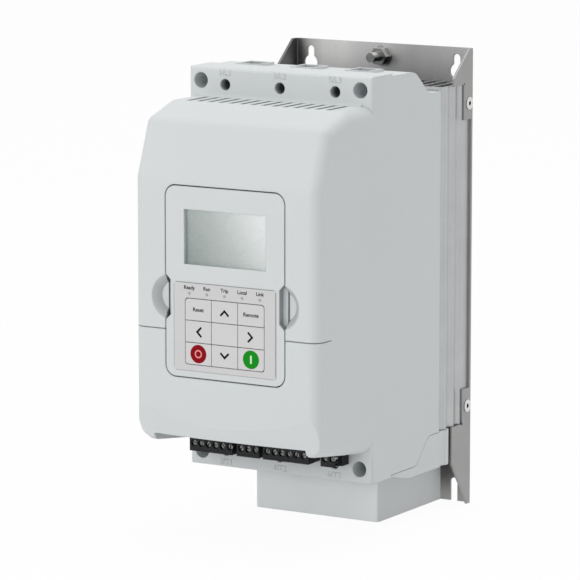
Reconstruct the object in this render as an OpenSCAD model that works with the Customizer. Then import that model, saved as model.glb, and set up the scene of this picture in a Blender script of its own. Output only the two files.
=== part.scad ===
// Soft starter for motors, front towards -Y, up is +Z, wall plane at y = 0

/* [Housing] */
// Width of the housing and of the back plate
body_w = 127; // [124:0.5:134]
// Wall thickness of the mouldings
wall = 2.5; // [2:0.1:2.8]
// Depth of the terminal ledges' front face from the wall
ledge_d = 125; // [123:0.5:128]
// Length of the terminal ledges from front to rear
ledge_l = 23.5; // [23:0.1:25]
// Depth of the front panel from the wall
panel_d = 187.3; // [184:0.1:192]
// Height of the upper ledge above the centre
ledge_top = 135.3; // [134.5:0.1:137]
// Drop from the upper ledge to the shelf behind it
shelf_drop = 1.3; // [1:0.1:2]
// Height of the housing's upper rear rim
rim_top = 119; // [117:0.1:121]
// Level of the lower ledge below the centre
ledge_low = 108.1; // [107.5:0.1:110]
// Rise from the lower ledge to the shelf behind it
shelf_rise = 1.8; // [1.2:0.1:2.6]
// Height of the hood's flat top
hood_top = 117.8; // [116:0.1:119]
// Level of the lower front corners of the hood's sides
hood_low = 81.8; // [81:0.1:84]
// Level at which the hood's sides meet the lower ledge
rail_low = 90.1; // [88:0.1:91]
// Level of the hood's front lower edge
lip_low = 78.3; // [76.5:0.1:79]
// Width of the hood's lower front corners
lip_in = 11.2; // [9:0.1:12.5]
// Radius of the hood's long edges
corner_r = 7; // [5:0.1:9]
// Radius of the brow over the panel
brow_r = 9; // [7:0.1:11]
// Lean of the panel's upper part from upright
incline_a = 20.5; // [18:0.1:23]
// Height at which the panel starts to lean back
incline_z = 76; // [75.5:0.1:80]
// Lean of the chin under the panel
chin_a = 15; // [12:0.5:18]
// Radius of the chin's curve across the width
chin_r = 580; // [450:5:800]
// Level of the chin's crease at the middle
chin_z = 70.5; // [68:0.1:73]
// Level of the seam over the lower cover
seam_z = 13.5; // [11:0.1:16]
// Width of the seam's groove
seam_gap = 0.5; // [0.3:0.05:0.8]
// Depth of the lower cover behind the panel
cover_l = 15.7; // [13:0.1:16]

/* [Vents and holes] */
// Number of vent slots in the hood's top
vent_count = 14; // [8:1:16]
// Distance between vent slots
vent_pitch = 7.4; // [6:0.1:7.6]
// Width of a vent slot
vent_w = 2.2; // [1.5:0.1:3]
// Length of a vent slot
vent_l = 20; // [18:0.5:27]
// Distance of the outer phases from the sides
phase_in = 25.4; // [25.2:0.1:26.5]
// Diameter of the screw access holes
access_dia = 6.9; // [6.8:0.1:8]
// Distance of the upper access holes from the ledge's top
line_in = 10; // [9.6:0.1:10.6]
// Distance of the lower access holes from the ledge's bottom
load_in = 10.6; // [10.2:0.1:11]
// Diameter of the corner wells
well_dia = 9.5; // [8:0.1:10.5]
// Depth of the corner wells
well_depth = 20; // [12:0.5:21]
// Distance of the corner wells from the sides
well_in = 8.3; // [7:0.1:8.8]
// Distance of the upper corner wells from the ledge's top
well_top_in = 8.1; // [7.5:0.1:9]
// Distance of the lower corner wells from the ledge's bottom
well_low_in = 8.7; // [7.8:0.1:9.5]
// Height of the collars round the line cable entries
collar_h = 1.6; // [1:0.1:2.5]

/* [Back plate] */
// Height of the back plate
plate_h = 283.6; // [280:0.2:288]
// Thickness of the plate's sheet
sheet_t = 1.5; // [1.2:0.1:2]
// Depth of the flange strip
strip_d = 3.6; // [3:0.1:5]
// Depth of the screw tabs
tab_d = 12.8; // [11.5:0.1:14]
// Depth of the gussets
gusset_d = 25.8; // [24:0.1:26.4]
// Distance of the keyholes from the sides
keyhole_in = 11.5; // [10:0.1:13]
// Diameter of the keyhole heads
keyhole_dia = 9.6; // [9:0.1:11]
// Width of the keyhole necks and of the bottom slots
slot_w = 5; // [4.4:0.1:6]
// Diameter of the earth stud
stud_dia = 6; // [5:1:8]

/* [Heat sink] */
// Depth of the heat sink's front face
sink_d = 42; // [40:0.5:43]
// Height of the heat sink's top
sink_top = 120.5; // [119.5:0.1:122]
// Level of the heat sink's bottom
sink_low = 90.3; // [89.8:0.1:91]
// Thickness of the heat sink's base
sink_base = 10; // [8:0.5:12]
// Number of inner fins
fin_count = 14; // [10:1:15]
// Thickness of a fin
fin_t = 1.6; // [1.2:0.1:1.8]

/* [Fan] */
// Width of the fan box
fan_box_w = 86.7; // [84:0.1:90]
// Depth of the fan box
fan_box_l = 80; // [78:0.1:80.5]
// Offset of the fan box from the middle
fan_x = 9.85; // [8:0.05:11]
// Width of the square fan
fan_size = 60; // [58:0.5:62]
// Thickness of the fan
fan_t = 20; // [18:0.5:22]
// Number of fan blades
blade_count = 7; // [5:1:9]

/* [Keypad] */
// Width of the keypad unit
hmi_w = 81.4; // [80.5:0.1:82]
// Height of the keypad unit
hmi_h = 113.4; // [112:0.1:113.8]
// Corner radius of the keypad unit
hmi_r = 6.5; // [5:0.1:7]
// Height of the keypad unit's middle
hmi_z = 15.4; // [15.2:0.1:15.6]
// Gap round the keypad unit
hmi_gap = 0.7; // [0.5:0.05:0.9]
// Depth of the keypad unit
hmi_depth = 16; // [15.5:0.1:16.4]
// Width of the display window
lcd_w = 56; // [52:0.2:60]
// Height of the display window
lcd_h = 32.6; // [30:0.2:34]
// Height of the display over the unit's middle
lcd_up = 26.9; // [26:0.1:28]
// Width of a key
key_pitch_x = 18.15; // [17.5:0.05:18.5]
// Height of a key
key_pitch_z = 13.15; // [12.8:0.05:13.4]
// Distance of the key field under the unit's middle
keys_down = 29.15; // [28.8:0.05:29.6]
// Gap between keys
key_gap = 0.45; // [0.4:0.05:0.6]
// Radius of the key field's corners
field_r = 2; // [1:0.1:3]
// Travel of a key
key_travel = 0.8; // [0.5:0.1:1]
// Width of the printed overlay
overlay_w = 70.4; // [68:0.2:72]
// Height of the printed overlay
overlay_h = 52.9; // [52:0.1:53.4]
// Diameter of the light windows
led_dia = 1.2; // [1:0.1:2]
// Half height of the finger scoops
scoop_r = 13.6; // [12:0.1:14.5]

/* [Control terminals] */
// Pitch of the control terminals
way_pitch = 5.08; // [5:0.01:5.2]
// Length of the plugs in front of their headers
plug_l = 6.6; // [6:0.1:8]
// Level of the plugs' bottom
plug_low = 96.9; // [96.5:0.1:98]
// Height of the plugs
plug_h = 9.9; // [9.6:0.1:10.2]

/* [Hidden] */
$fn = 48;
reach = 300;
past = 1;
fit = 0.05;
seat_gap = 0.3;
half_w = body_w / 2;
inner_w = body_w - 2 * wall;
sides = [-1, 1];
phases = [-half_w + phase_in, 0, half_w - phase_in];

// Folds and edges of the housing, from front to rear
slope_l = 25;
slope_a = 72.3;
block_l = 21.5;
rise_l = 23.2;
rise_r = 12;
sweep_l = 27.5;
sweep_r = 8;
foot_l = 10;
fold_r = 20;
lip_r = 8;
lip_setback = 0.8;
lip_round = 9;
lip_a = [-32, -58];
brow_lift = 0.3;
edge_r = 2;
shelf_top = ledge_top - shelf_drop;
shelf_low = ledge_low - shelf_rise;
shelf_d = ledge_d - ledge_l;
block_d = ledge_d - block_l;
slope_d = ledge_d + slope_l;
seam_d = panel_d - cover_l;
rise_d = shelf_d - rise_l;
sweep_d = shelf_d - sweep_l;
foot_d = sink_d + foot_l;
line_z = ledge_top - line_in;
load_z = ledge_low - load_in;
well_x = half_w - well_in;
well_z = [-ledge_low + well_low_in, ledge_top - well_top_in];

// Room between the heat sink's fins, and depths of the control board with its headers and plugs
sink_w = body_w - 2 * sheet_t;
sink_side = 3.4;
fin_room = (sink_w - 2 * sink_side - fin_count * fin_t) / (fin_count + 1);
fin_front = sink_d - sink_base;
board_t = 1.6;
control_gap = 0.5;
header_l = 5.9;
control_d = ledge_d + control_gap;
control_front = control_d + board_t;
header_d = control_front + header_l;
plug_d = header_d + plug_l;

// Direction of a face that leans back by an angle, its distance from the frame's line, and arcs
function lean(a) = [-cos(a), sin(a)];
function reach_of(a, p) = lean(a) * p;
function meet(a, h, b, k) = [-(h * sin(b) - k * sin(a)), k * cos(a) - h * cos(b)] / sin(b - a);
function arc(c, r, from, to, steps) = [for (k = [0:steps]) c + r * lean(from + k / steps * (to - from))];
slope_h = reach_of(slope_a, [-slope_d, hood_top]);
incline_h = reach_of(incline_a, [-panel_d, incline_z]);
chin_h = reach_of(-chin_a, [-panel_d, -chin_z]);
brow_mid = (slope_a + incline_a) / 2;
brow_c = meet(incline_a, incline_h, slope_a, slope_h)
  - lean(brow_mid) * brow_r / cos((slope_a - incline_a) / 2);
fold_c = meet(0, panel_d - fold_r, incline_a, incline_h - fold_r);
lip_c = [-panel_d + lip_r + lip_setback, -hood_low + lip_r];
brow_h = reach_of(brow_mid, brow_c) + brow_r + brow_lift;
rail_a = atan2(rail_low - hood_low, panel_d - ledge_d) - 90;
rail_h = reach_of(rail_a, [-panel_d, -hood_low]);
hood_faces = concat([[90, hood_top, corner_r], [slope_a, slope_h, corner_r], [brow_mid, brow_h, corner_r]],
  [[incline_a, incline_h, corner_r], [0, panel_d, corner_r]],
  [for (a = lip_a) [a, reach_of(a, lip_c) + lip_r, lip_round]]);

// Side outline of the hood, set in by a wall and open below
function hood_side(i) = concat(
  [[-hood_d, hood_top + past], [-slope_d, hood_top + past], brow_c + (brow_r + past) * lean(slope_a)],
  arc(brow_c, brow_r - i, slope_a, incline_a, 8),
  arc(fold_c, fold_r - i, incline_a, 0, 4),
  [[-panel_d + i, -under], [-hood_d, -under]]);

// Double bend between two levels of a side outline, set in by a wall; its radius stays within its run
function bend_r(run, drop, r) = min(r, 0.9 * (run * run + drop * drop) / (4 * drop));
function bend(p, q, size, i) =
  let (run = q[0] - p[0], drop = p[1] - q[1], r = bend_r(run, drop, size))
  let (turn = asin(2 * r / norm([run, drop - 2 * r])) - atan2(2 * r - drop, run))
  concat([for (t = [0:0.25:1]) p + [(r - i) * sin(t * turn), (r - i) * cos(t * turn) - r]],
    [for (t = [1:-0.25:0]) q + [-(r + i) * sin(t * turn), r - (r + i) * cos(t * turn)]]);
function flip(points) = [for (k = [len(points) - 1:-1:0]) [points[k][0], -points[k][1]]];
function rise(i) = bend([-rise_d, shelf_top], [-foot_d, rim_top], rise_r, i);
function sweep(i) = flip(bend([-sweep_d, shelf_low], [-foot_d, sink_low], sweep_r, i));

// Side outline drawn in [y, z] and spread along X
module across(points, w) {
  translate([-w / 2, 0, 0]) rotate([90, 0, 90]) linear_extrude(w) polygon(points);
}

// Front view drawn in [x, z], from a rear depth towards the front
module facing(rear, t) {
  translate([0, -rear, 0]) rotate([90, 0, 0]) linear_extrude(t) children();
}

// Block between two depths and two levels, centred on x
module block(x, w, rear, front, low, top) {
  translate([x - w / 2, -front, low]) cube([w, front - rear, top - low]);
}

// Round rod along Y between two depths
module rod(x, z, dia, rear, front) {
  translate([x, -rear, z]) rotate([90, 0, 0]) cylinder(d = dia, h = front - rear);
}

// Round bar along X right through the housing's width
module crossbar(d, z, r) {
  translate([0, -d, z]) rotate([0, 90, 0]) cylinder(r = r, h = body_w + 2 * past, center = true);
}

module rounded_rect(w, h, r) {
  square([w, h - 2 * r], center = true);
  square([w - 2 * r, h], center = true);
  for (x = sides, z = sides) translate([x * (w / 2 - r), z * (h / 2 - r)]) circle(r);
}

// Screw along Y with a slot in its head
module slot_screw(x, z, head_dia, head_h, shank_dia, seat, tip, turn) {
  difference() {
    union() {
      rod(x, z, head_dia, seat, seat + head_h);
      rod(x, z, shank_dia, tip, seat);
    }
    translate([x, -seat - head_h, z]) rotate([0, turn, 0])
      cube([head_dia * 2, head_h, head_dia / 6], center = true);
  }
}

// Hood made of rounded faces

hood_d = ledge_d - edge_r;
under = rail_low + 10;
bay_clear = 0.6;
bay_wall = 2;
bay_floor = panel_d - hmi_depth - bay_clear;
lip_x = half_w - lip_in;
ceiling_t = 2;
ceiling_up = 2.3;
ceiling_z = lip_low - ceiling_up;
ceiling_gap = 1.4;
ceiling_d = plug_d + ceiling_gap;
rail_gap = 5;
rail_flange = 6;
rail_d = plug_d + rail_gap;
scoop_down = 9.8;
scoop_in = 3.5;
scoop_depth = 4.6;
scoop_floor_r = 9;
scoop_skin = 1.6;
scoop_lead = 0.1;
scoop_z = hmi_z - scoop_down;

module rounded_section(w, r) {
  translate([-w / 2, r]) square([w, reach]);
  translate([-w / 2 + r, 0]) square([w - 2 * r, reach]);
  for (s = sides) translate([s * (w / 2 - r), r]) circle(r);
}

module rounded_face(a, h, r, w) {
  rotate([-a, 0, 0]) translate([0, -h, -reach]) linear_extrude(2 * reach) rounded_section(w, r);
}

// Hood set in by a wall, open below
module hood_form(i) {
  intersection() {
    intersection_for (f = hood_faces) rounded_face(f[0], f[1] - i, f[2] - i, body_w - 2 * i);
    rotate([chin_a, 0, 0]) translate([0, chin_r - chin_h, -reach])
      cylinder(r = chin_r - i, h = 2 * reach, $fn = 360);
    across(hood_side(i), body_w + past);
  }
}

// The same hood closed below along the slope of its sides' lower edges
module hood_closed(i) {
  intersection() {
    hood_form(i);
    rounded_face(rail_a, rail_h - i, lip_round - i, body_w - 2 * i);
  }
}

// Span from x = inner to the sides, in front of the plugs, and past the plugs with a narrow flange
module rail_spans(inner, flange_w, i) {
  for (s = sides) {
    block(s * (inner + body_w) / 2, body_w - inner, rail_d - i, panel_d, -under, -ceiling_z + ceiling_t / 2);
    block(s * body_w / 2, 2 * flange_w, ledge_d - wall / 2, rail_d + past, -under, -ceiling_z);
  }
}

// Hollow rails along the lower edges of the hood's sides
module rails() {
  difference() {
    intersection() {
      hood_closed(0);
      rail_spans(lip_x, rail_flange, 0);
    }
    intersection() {
      hood_closed(wall);
      rail_spans(lip_x + wall, lip_in, past);
    }
  }
}

module bay_shape(grow) {
  translate([0, hmi_z]) rounded_rect(hmi_w + 2 * grow, hmi_h + 2 * grow, hmi_r + grow);
}

// Cones of the finger scoops, grown by a skin and led out in front of the panel
module scoops(grow, lead) {
  for (s = sides) translate([s * (hmi_w / 2 - scoop_in), -panel_d - lead, scoop_z]) rotate([-90, 0, 0])
    cylinder(r1 = scoop_r + grow + lead, r2 = scoop_floor_r + grow, h = scoop_depth + grow + lead);
}

// Hood shell with the keypad bay and the finger scoops in it
module front_moulding() {
  difference() {
    union() {
      difference() {
        hood_closed(0);
        translate([0, past, 0]) hood_form(wall);
        hood_form(wall);
      }
      rails();
      intersection() {
        hood_closed(0);
        union() {
          facing(bay_floor - bay_wall, panel_d) bay_shape(hmi_gap + bay_wall);
          scoops(scoop_skin, 0);
        }
      }
    }
    facing(bay_floor, panel_d) bay_shape(hmi_gap);
    scoops(0, scoop_lead);
    block(0, 2 * lip_x, ledge_d + wall, panel_d + past, -under, -lip_low);
  }
}

// Space of the lower cover, with a gap over it
module cover_room(gap) {
  block(0, 2 * body_w, seam_d, panel_d + wall, -under, -seam_z - gap);
}

// Housing with its terminal ledges

housing_side = concat(
  arc([-ledge_d + edge_r, ledge_top - edge_r], edge_r, 0, 90, 4),
  [[-shelf_d, ledge_top], [-shelf_d, shelf_top]], rise(0),
  [[-sink_d, rim_top], [-sink_d, -sink_low]], sweep(0), [[-shelf_d, -shelf_low], [-shelf_d, -ledge_low]],
  arc([-ledge_d + edge_r, -ledge_low + edge_r], edge_r, -90, 0, 4));
chamber_top = [[-ledge_d + wall, hood_top - wall], [-block_d, hood_top - wall], [-block_d, shelf_top - wall]];
chamber_rear = [[-sink_d + past, rim_top - wall], [-sink_d + past, -sink_low + wall]];
chamber_step = [[-shelf_d, -shelf_low + wall], [-shelf_d, -ledge_low + wall]];
chamber_low = [[-ledge_d + wall, -ledge_low + wall]];
chamber_side = concat(chamber_top, rise(wall), chamber_rear, sweep(wall), chamber_step, chamber_low);

post_w = 14.4;
boss_dia = 8;
boss_l = 22;
boss_web = 2;
boss_floor = 4;
boss_up = 14.3;
boss_down = 21;
boss_z = [-sink_low + boss_up, rim_top - boss_down];
boss_x = sink_w / 2 - sink_side - fin_room / 2;
boss_d = sink_d + boss_l;
housing_screw_dia = 3;
housing_head_dia = 5;
housing_head_h = 2;
entry_w = 13;
line_entry_in = 4;
line_entry_l = 13;
load_entry_in = 9;
load_entry_l = 11.5;
line_entry = [shelf_d - line_entry_in - line_entry_l, shelf_d - line_entry_in];
load_entry = [ledge_d - load_entry_in - load_entry_l, ledge_d - load_entry_in];
collar_t = 2;
vent_in = 4.5;
vent_low = 94;
root_r = 2;

// Fillet strip where the hood's top meets the upper ledge
module root_fillet() {
  difference() {
    block(0, body_w - 2 * corner_r, ledge_d - past, ledge_d + root_r, hood_top - root_r, hood_top + root_r);
    crossbar(ledge_d + root_r, hood_top + root_r, root_r);
  }
}

// Outer form of the ledges and of the shelf behind them
module ledge_body() {
  intersection() {
    across(housing_side, body_w);
    rounded_face(0, ledge_d, edge_r, body_w);
  }
  for (x = phases)
    block(x, entry_w + 2 * collar_t, line_entry[0] - collar_t, line_entry[1] + collar_t,
      shelf_top - past, shelf_top + collar_h);
}

module bosses() {
  boss_reach = half_w - wall / 2 - boss_x;
  for (s = sides, z = boss_z) {
    rod(s * boss_x, z, boss_dia, sink_d, boss_d);
    block(s * (boss_x + boss_reach / 2), boss_reach, sink_d, boss_d, z - boss_web / 2, z + boss_web / 2);
  }
}

module vents() {
  for (k = [0:vent_count - 1])
    block((k - (vent_count - 1) / 2) * vent_pitch, vent_w, ledge_d + vent_in, ledge_d + vent_in + vent_l,
      vent_low, hood_top + past);
}

module main_housing() color([0.83, 0.85, 0.85]) {
  difference() {
    union() {
      difference() {
        ledge_body();
        across(chamber_side, inner_w);
        block(0, inner_w, ledge_d - wall - past, ledge_d + past, -rail_low + 2 * wall, hood_top - wall);
      }
      front_moulding();
      root_fillet();
      for (s = sides)
        block(s * (half_w - post_w / 2), post_w, block_d, ledge_d - wall / 2,
          -ledge_low + past, -rail_low - past);
      block(0, body_w - wall, ceiling_d, seam_d, -ceiling_z, -ceiling_z + ceiling_t);
      bosses();
    }
    cover_room(0);
    vents();
    for (x = phases) {
      block(x, entry_w, line_entry[0], line_entry[1], hood_top, ledge_top + collar_h);
      block(x, entry_w, load_entry[0], load_entry[1], -ledge_low - past, -ledge_low + wall + past);
      rod(x, line_z, access_dia, block_d - past, ledge_d + past);
      rod(x, -load_z, access_dia, ledge_d - wall - past, ledge_d + past);
    }
    for (s = sides, z = well_z) rod(s * well_x, z, well_dia, ledge_d - well_depth, ledge_d + past);
    for (s = sides, z = boss_z)
      rod(s * boss_x, z, housing_screw_dia + 2 * fit, sink_d - past, boss_d - boss_floor);
    link_room(bay_floor - 2 * bay_wall, bay_floor + past);
  }
}

module lower_cover() color([0.84, 0.86, 0.86]) {
  intersection() {
    front_moulding();
    cover_room(seam_gap);
  }
}

// Back plate

foot_strip = 6;
foot_cut = 1.6;
tab_l = 21.8;
gusset_up = 4.5;
gusset_down = 22.7;
flange_head = [[0, plate_h / 2], [foot_strip, plate_h / 2]];
flange_top = [[gusset_d, sink_top + gusset_up], [gusset_d, sink_top]];
flange_tab_up = [[tab_d, sink_top], [tab_d, sink_top - tab_l], [strip_d, sink_top - tab_l]];
flange_tab_low = [[strip_d, -sink_low + tab_l], [tab_d, -sink_low + tab_l], [tab_d, -sink_low]];
flange_low = [[gusset_d, -sink_low], [gusset_d, -sink_low - gusset_down]];
flange_foot = [[foot_strip, -plate_h / 2 + foot_cut], [foot_strip, -plate_h / 2], [0, -plate_h / 2]];
flange_points = concat(flange_head, flange_top, flange_tab_up, flange_tab_low, flange_low, flange_foot);
flange = [for (p = flange_points) [-p[0], p[1]]];
fold_in = 1;
relief_r = 1;
tab_screw_d = 6.2;
tab_screw_up = 10.6;
tab_screw_down = 12;
tab_screw_z = [-sink_low + tab_screw_up, sink_top - tab_screw_down];
tab_hole_dia = 4.2;
tab_head_dia = 7.8;
tab_head_h = 0.5;
tab_socket = 3;
tab_socket_l = 2;
tab_shank = 6;
keyhole_x = half_w - keyhole_in;
keyhole_down = 14.8;
neck_down = 4.1;
slot_l = 14.5;
keyhole_z = plate_h / 2 - keyhole_down;
keyhole_top = plate_h / 2 - neck_down;
slot_top = plate_h / 2 - slot_l;

module keyholes() {
  for (s = sides) translate([s * keyhole_x, 0]) {
    translate([0, keyhole_z]) circle(d = keyhole_dia);
    translate([0, keyhole_top - slot_w / 2]) circle(d = slot_w);
    translate([-slot_w / 2, keyhole_z]) square([slot_w, keyhole_top - slot_w / 2 - keyhole_z]);
    translate([0, -slot_top - slot_w / 2]) circle(d = slot_w);
    translate([-slot_w / 2, -plate_h / 2 - past])
      square([slot_w, plate_h / 2 + past - slot_top - slot_w / 2]);
  }
}

// Inner radius of the plate's folds beside the open stretches of the panel
module inner_folds(low, top) {
  difference() {
    for (s = sides)
      block(s * (half_w - sheet_t - fold_in / 2), fold_in, sheet_t / 2, sheet_t + fold_in, low, top);
    for (s = sides) translate([s * (half_w - sheet_t - fold_in), -sheet_t - fold_in, low - past])
      cylinder(r = fold_in, h = top - low + 2 * past);
  }
}

module back_plate() color([0.66, 0.67, 0.68]) {
  difference() {
    intersection() {
      union() {
        facing(0, sheet_t) square([body_w, plate_h], center = true);
        for (s = sides) translate([s * (half_w - sheet_t / 2), 0, 0]) across(flange, sheet_t);
        inner_folds(sink_top + seat_gap, plate_h / 2);
        inner_folds(-plate_h / 2, -sink_low - seat_gap);
      }
      mirror([0, 1, 0]) rounded_face(0, 0, sheet_t + fold_in, body_w);
    }
    facing(-past, sheet_t + 2 * past) keyholes();
    for (z = tab_screw_z) crossbar(tab_screw_d, z, tab_hole_dia / 2);
    for (z = [-sink_low, sink_top]) crossbar(tab_d, z, relief_r);
  }
}

module plate_screws() color([0.75, 0.76, 0.77]) {
  for (s = sides, z = tab_screw_z)
    translate([s * half_w, -tab_screw_d, z]) rotate([0, s * 90, 0]) tab_screw();
}

module tab_screw() {
  difference() {
    union() {
      cylinder(d = tab_head_dia, h = tab_head_h);
      translate([0, 0, -tab_shank]) cylinder(d = tab_hole_dia - 2 * fit, h = tab_shank);
    }
    translate([0, 0, tab_head_h - tab_socket_l]) cylinder(d = tab_socket, h = tab_socket_l + past, $fn = 6);
  }
}

stud_up = 2.85;
stud_l = 16;
stud_core = stud_dia - 1;
nut_h = 5;
nut_w = 10;
washer_t = 1.6;
washer_dia = 12.5;
stud_z = (sink_top + plate_h / 2) / 2 + stud_up;
nut_front = sheet_t + washer_t + nut_h;

// Stud cut to its thread's core inside the nut
module earth_stud() color([0.78, 0.76, 0.68]) {
  rod(0, stud_z, stud_core, sheet_t, nut_front);
  rod(0, stud_z, stud_dia, nut_front, sheet_t + stud_l);
}

module earth_nut() color([0.8, 0.8, 0.8]) {
  difference() {
    union() {
      rod(0, stud_z, washer_dia, sheet_t, sheet_t + washer_t);
      translate([0, -sheet_t - washer_t, stud_z]) rotate([90, 0, 0])
        cylinder(d = nut_w / cos(30), h = nut_h, $fn = 6);
    }
    rod(0, stud_z, stud_core + 2 * fit, sheet_t - past, nut_front + past);
  }
}

// Heat sink

flute_d = [17, 26.5, 37];
flute_r = 5.6;
flute_in = 1.6;
pin_depth = 7;

module flutes(side_w, low, top) {
  for (s = sides, d = flute_d) translate([s * (side_w / 2 + flute_r - flute_in), -d, low])
    cylinder(r = flute_r, h = top - low);
}

module heat_sink() color([0.7, 0.71, 0.72]) {
  difference() {
    block(0, sink_w, sheet_t, sink_d, -sink_low, sink_top);
    for (k = [0:fin_count])
      block(-sink_w / 2 + sink_side + fin_room / 2 + k * (fin_room + fin_t), fin_room,
        sheet_t - past, fin_front, -sink_low - past, sink_top + past);
    flutes(sink_w, -sink_low - past, sink_top + past);
    for (z = tab_screw_z) crossbar(tab_screw_d, z, tab_hole_dia / 2);
    for (s = sides, z = boss_z)
      rod(s * boss_x, z, housing_screw_dia + 2 * fit, fin_front - past, sink_d + past);
    for (x = phases, z = module_ends)
      rod(x, z, module_screw_dia + 2 * fit, sink_d - pin_depth, sink_d + past);
    for (s = sides, z = post_z) rod(s * post_x, z, post_pin_dia + 2 * fit, sink_d - pin_depth, sink_d + past);
  }
}

module housing_screws() color([0.6, 0.6, 0.62]) {
  for (s = sides, z = boss_z) {
    rod(s * boss_x, z, housing_screw_dia, fin_front, boss_d - boss_floor - past);
    rod(s * boss_x, z, housing_head_dia, fin_front - housing_head_h, fin_front);
  }
}

// Air duct and fan

duct_rear = 27;
duct_h = 6;
duct_room_h = 2.7;
duct_room_in = 15.5;
nose_l = [10.5, 21.1];
nose_h = [1, 3.7];
duct_floor = shelf_low + duct_room_h;
duct_low = shelf_low + duct_h;
duct_room_d = shelf_d - duct_room_in;
duct_nose = [[-shelf_d, -shelf_low - nose_h[0]], [-shelf_d + nose_l[0], -shelf_low - nose_h[1]],
  [-shelf_d + nose_l[1], -duct_low]];
duct_top = [for (k = [len(sweep(0)) - 1:-1:0]) sweep(0)[k] + [0, -seat_gap]];
duct_back = [[-duct_rear, -sink_low - seat_gap], [-duct_rear, -duct_low]];
duct_under = [for (k = [2:-1:0]) duct_nose[k]];
duct_side = concat([[-shelf_d, -shelf_low - seat_gap]], duct_top, duct_back, duct_under);
box_cut = concat([[-reach, reach], [-reach, duct_nose[0][1]]], duct_nose, [[0, -duct_low], [0, reach]]);
fan_box_rear = 18.9;
fan_box_wall = 2;
fan_box_r = 3;
fan_room = 1.1;
fan_back = 1.4;
fan_rim = 2.5;
fan_hole_in = 5;
fan_y = fan_box_rear + fan_box_l / 2 - fan_back;
fan_bore = fan_size - 2 * fan_rim;
fan_hole = fan_size / 2 - fan_hole_in;
fan_screw_dia = 3.5;
fan_head_h = 2;
fan_nut_l = 3;
guard_wire = 1.6;
guard_in = 9;
guard_out = fan_bore / 2 + past;
guard_rings = [for (k = [0:3]) guard_in + k * (guard_out - guard_in) / 3];
fan_low = duct_low + fan_t;
fan_box_low = fan_low + guard_wire + fan_box_wall + fan_room;

module fan_corners() {
  for (x = sides, y = sides) translate([x * fan_hole, y * fan_hole]) children();
}

module air_duct() color([0.8, 0.82, 0.82]) {
  difference() {
    across(duct_side, body_w);
    block(0, inner_w, duct_rear + wall, duct_room_d, -duct_floor, -sink_low);
    translate([fan_x, -fan_y, -duct_low - past]) cylinder(d = fan_bore, h = duct_h + 2 * past);
    intersection() {
      flutes(body_w, -duct_low - past, -sink_low + past);
      block(0, 2 * body_w, duct_rear - past, sink_d, -duct_low - past, -sink_low);
    }
    translate([fan_x, -fan_y, -duct_low - past]) fan_corners()
      cylinder(d = fan_screw_dia + 2 * fit, h = duct_h);
  }
}

module fan_box() color([0.82, 0.83, 0.83]) {
  difference() {
    translate([fan_x, -fan_box_rear - fan_box_l / 2, -fan_box_low]) linear_extrude(fan_box_low - shelf_low)
      rounded_rect(fan_box_w, fan_box_l, fan_box_r);
    translate([fan_x, -fan_box_rear - fan_box_l / 2, -fan_box_low + fan_box_wall]) linear_extrude(reach)
      rounded_rect(fan_box_w - 2 * fan_box_wall, fan_box_l - 2 * fan_box_wall, fan_box_r - fan_box_wall);
    across(box_cut, 2 * body_w);
    translate([fan_x, -fan_y, -fan_box_low - past]) cylinder(d = fan_bore, h = fan_box_wall + 2 * past);
  }
}

fan_frame_r = 3;
hub_dia = 24;
hub_skin = 0.5;
stator_t = 4;
strut_w = 3;
shaft_dia = 3;
rotor_gap = 0.6;
rotor_t = fan_t - stator_t - rotor_gap - past;
blade_gap = 0.8;
blade_t = 1.4;
blade_a = 50;

module fan_frame() color([0.15, 0.15, 0.16]) {
  translate([fan_x, -fan_y, -fan_low]) {
    difference() {
      linear_extrude(fan_t) rounded_rect(fan_size, fan_size, fan_frame_r);
      translate([0, 0, -past]) cylinder(d = fan_bore, h = fan_t + 2 * past);
      translate([0, 0, -past]) fan_corners() cylinder(d = fan_screw_dia + 2 * fit, h = fan_t + 2 * past);
    }
    difference() {
      union() {
        cylinder(d = hub_dia, h = stator_t);
        for (a = [45, 135]) rotate([0, 0, a]) translate([-fan_bore / 2 - past, -strut_w / 2, 0])
          cube([fan_bore + 2 * past, strut_w, stator_t / 2]);
      }
      translate([0, 0, -past]) cylinder(d = shaft_dia + 2 * fit, h = stator_t + 2 * past);
    }
  }
}

module fan_rotor() color([0.2, 0.2, 0.21]) {
  translate([fan_x, -fan_y, -fan_low + stator_t + rotor_gap]) {
    cylinder(d = hub_dia, h = rotor_t);
    translate([0, 0, -stator_t]) cylinder(d = shaft_dia, h = stator_t + past);
    intersection() {
      difference() {
        cylinder(d = fan_bore - 2 * blade_gap, h = rotor_t);
        translate([0, 0, -past]) cylinder(d = hub_dia - 2 * hub_skin, h = rotor_t + 2 * past);
      }
      for (k = [0:blade_count - 1]) rotate([0, 0, k * 360 / blade_count]) translate([0, 0, rotor_t / 2])
        rotate([blade_a, 0, 0]) translate([hub_dia / 2 - 2, -rotor_t, -blade_t / 2])
          cube([fan_bore / 2, 2 * rotor_t, blade_t]);
    }
  }
}

module fan_guard() color([0.6, 0.6, 0.62]) {
  translate([fan_x, -fan_y, -fan_box_low + fan_box_wall]) linear_extrude(guard_wire) {
    for (r = guard_rings) difference() {
      circle(r + guard_wire / 2);
      circle(r - guard_wire / 2);
    }
    for (a = [0, 90]) rotate(a) for (s = sides) translate([s * (guard_in + guard_out) / 2, 0])
      square([guard_out - guard_in, guard_wire], center = true);
  }
}

module fan_screws() color([0.6, 0.6, 0.62]) {
  translate([fan_x, -fan_y, -fan_low]) fan_corners() {
    translate([0, 0, -fan_head_h]) cylinder(d = 2 * fan_screw_dia - 1, h = fan_head_h);
    cylinder(d = fan_screw_dia, h = fan_t + fan_nut_l);
  }
}

// Power parts

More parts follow.
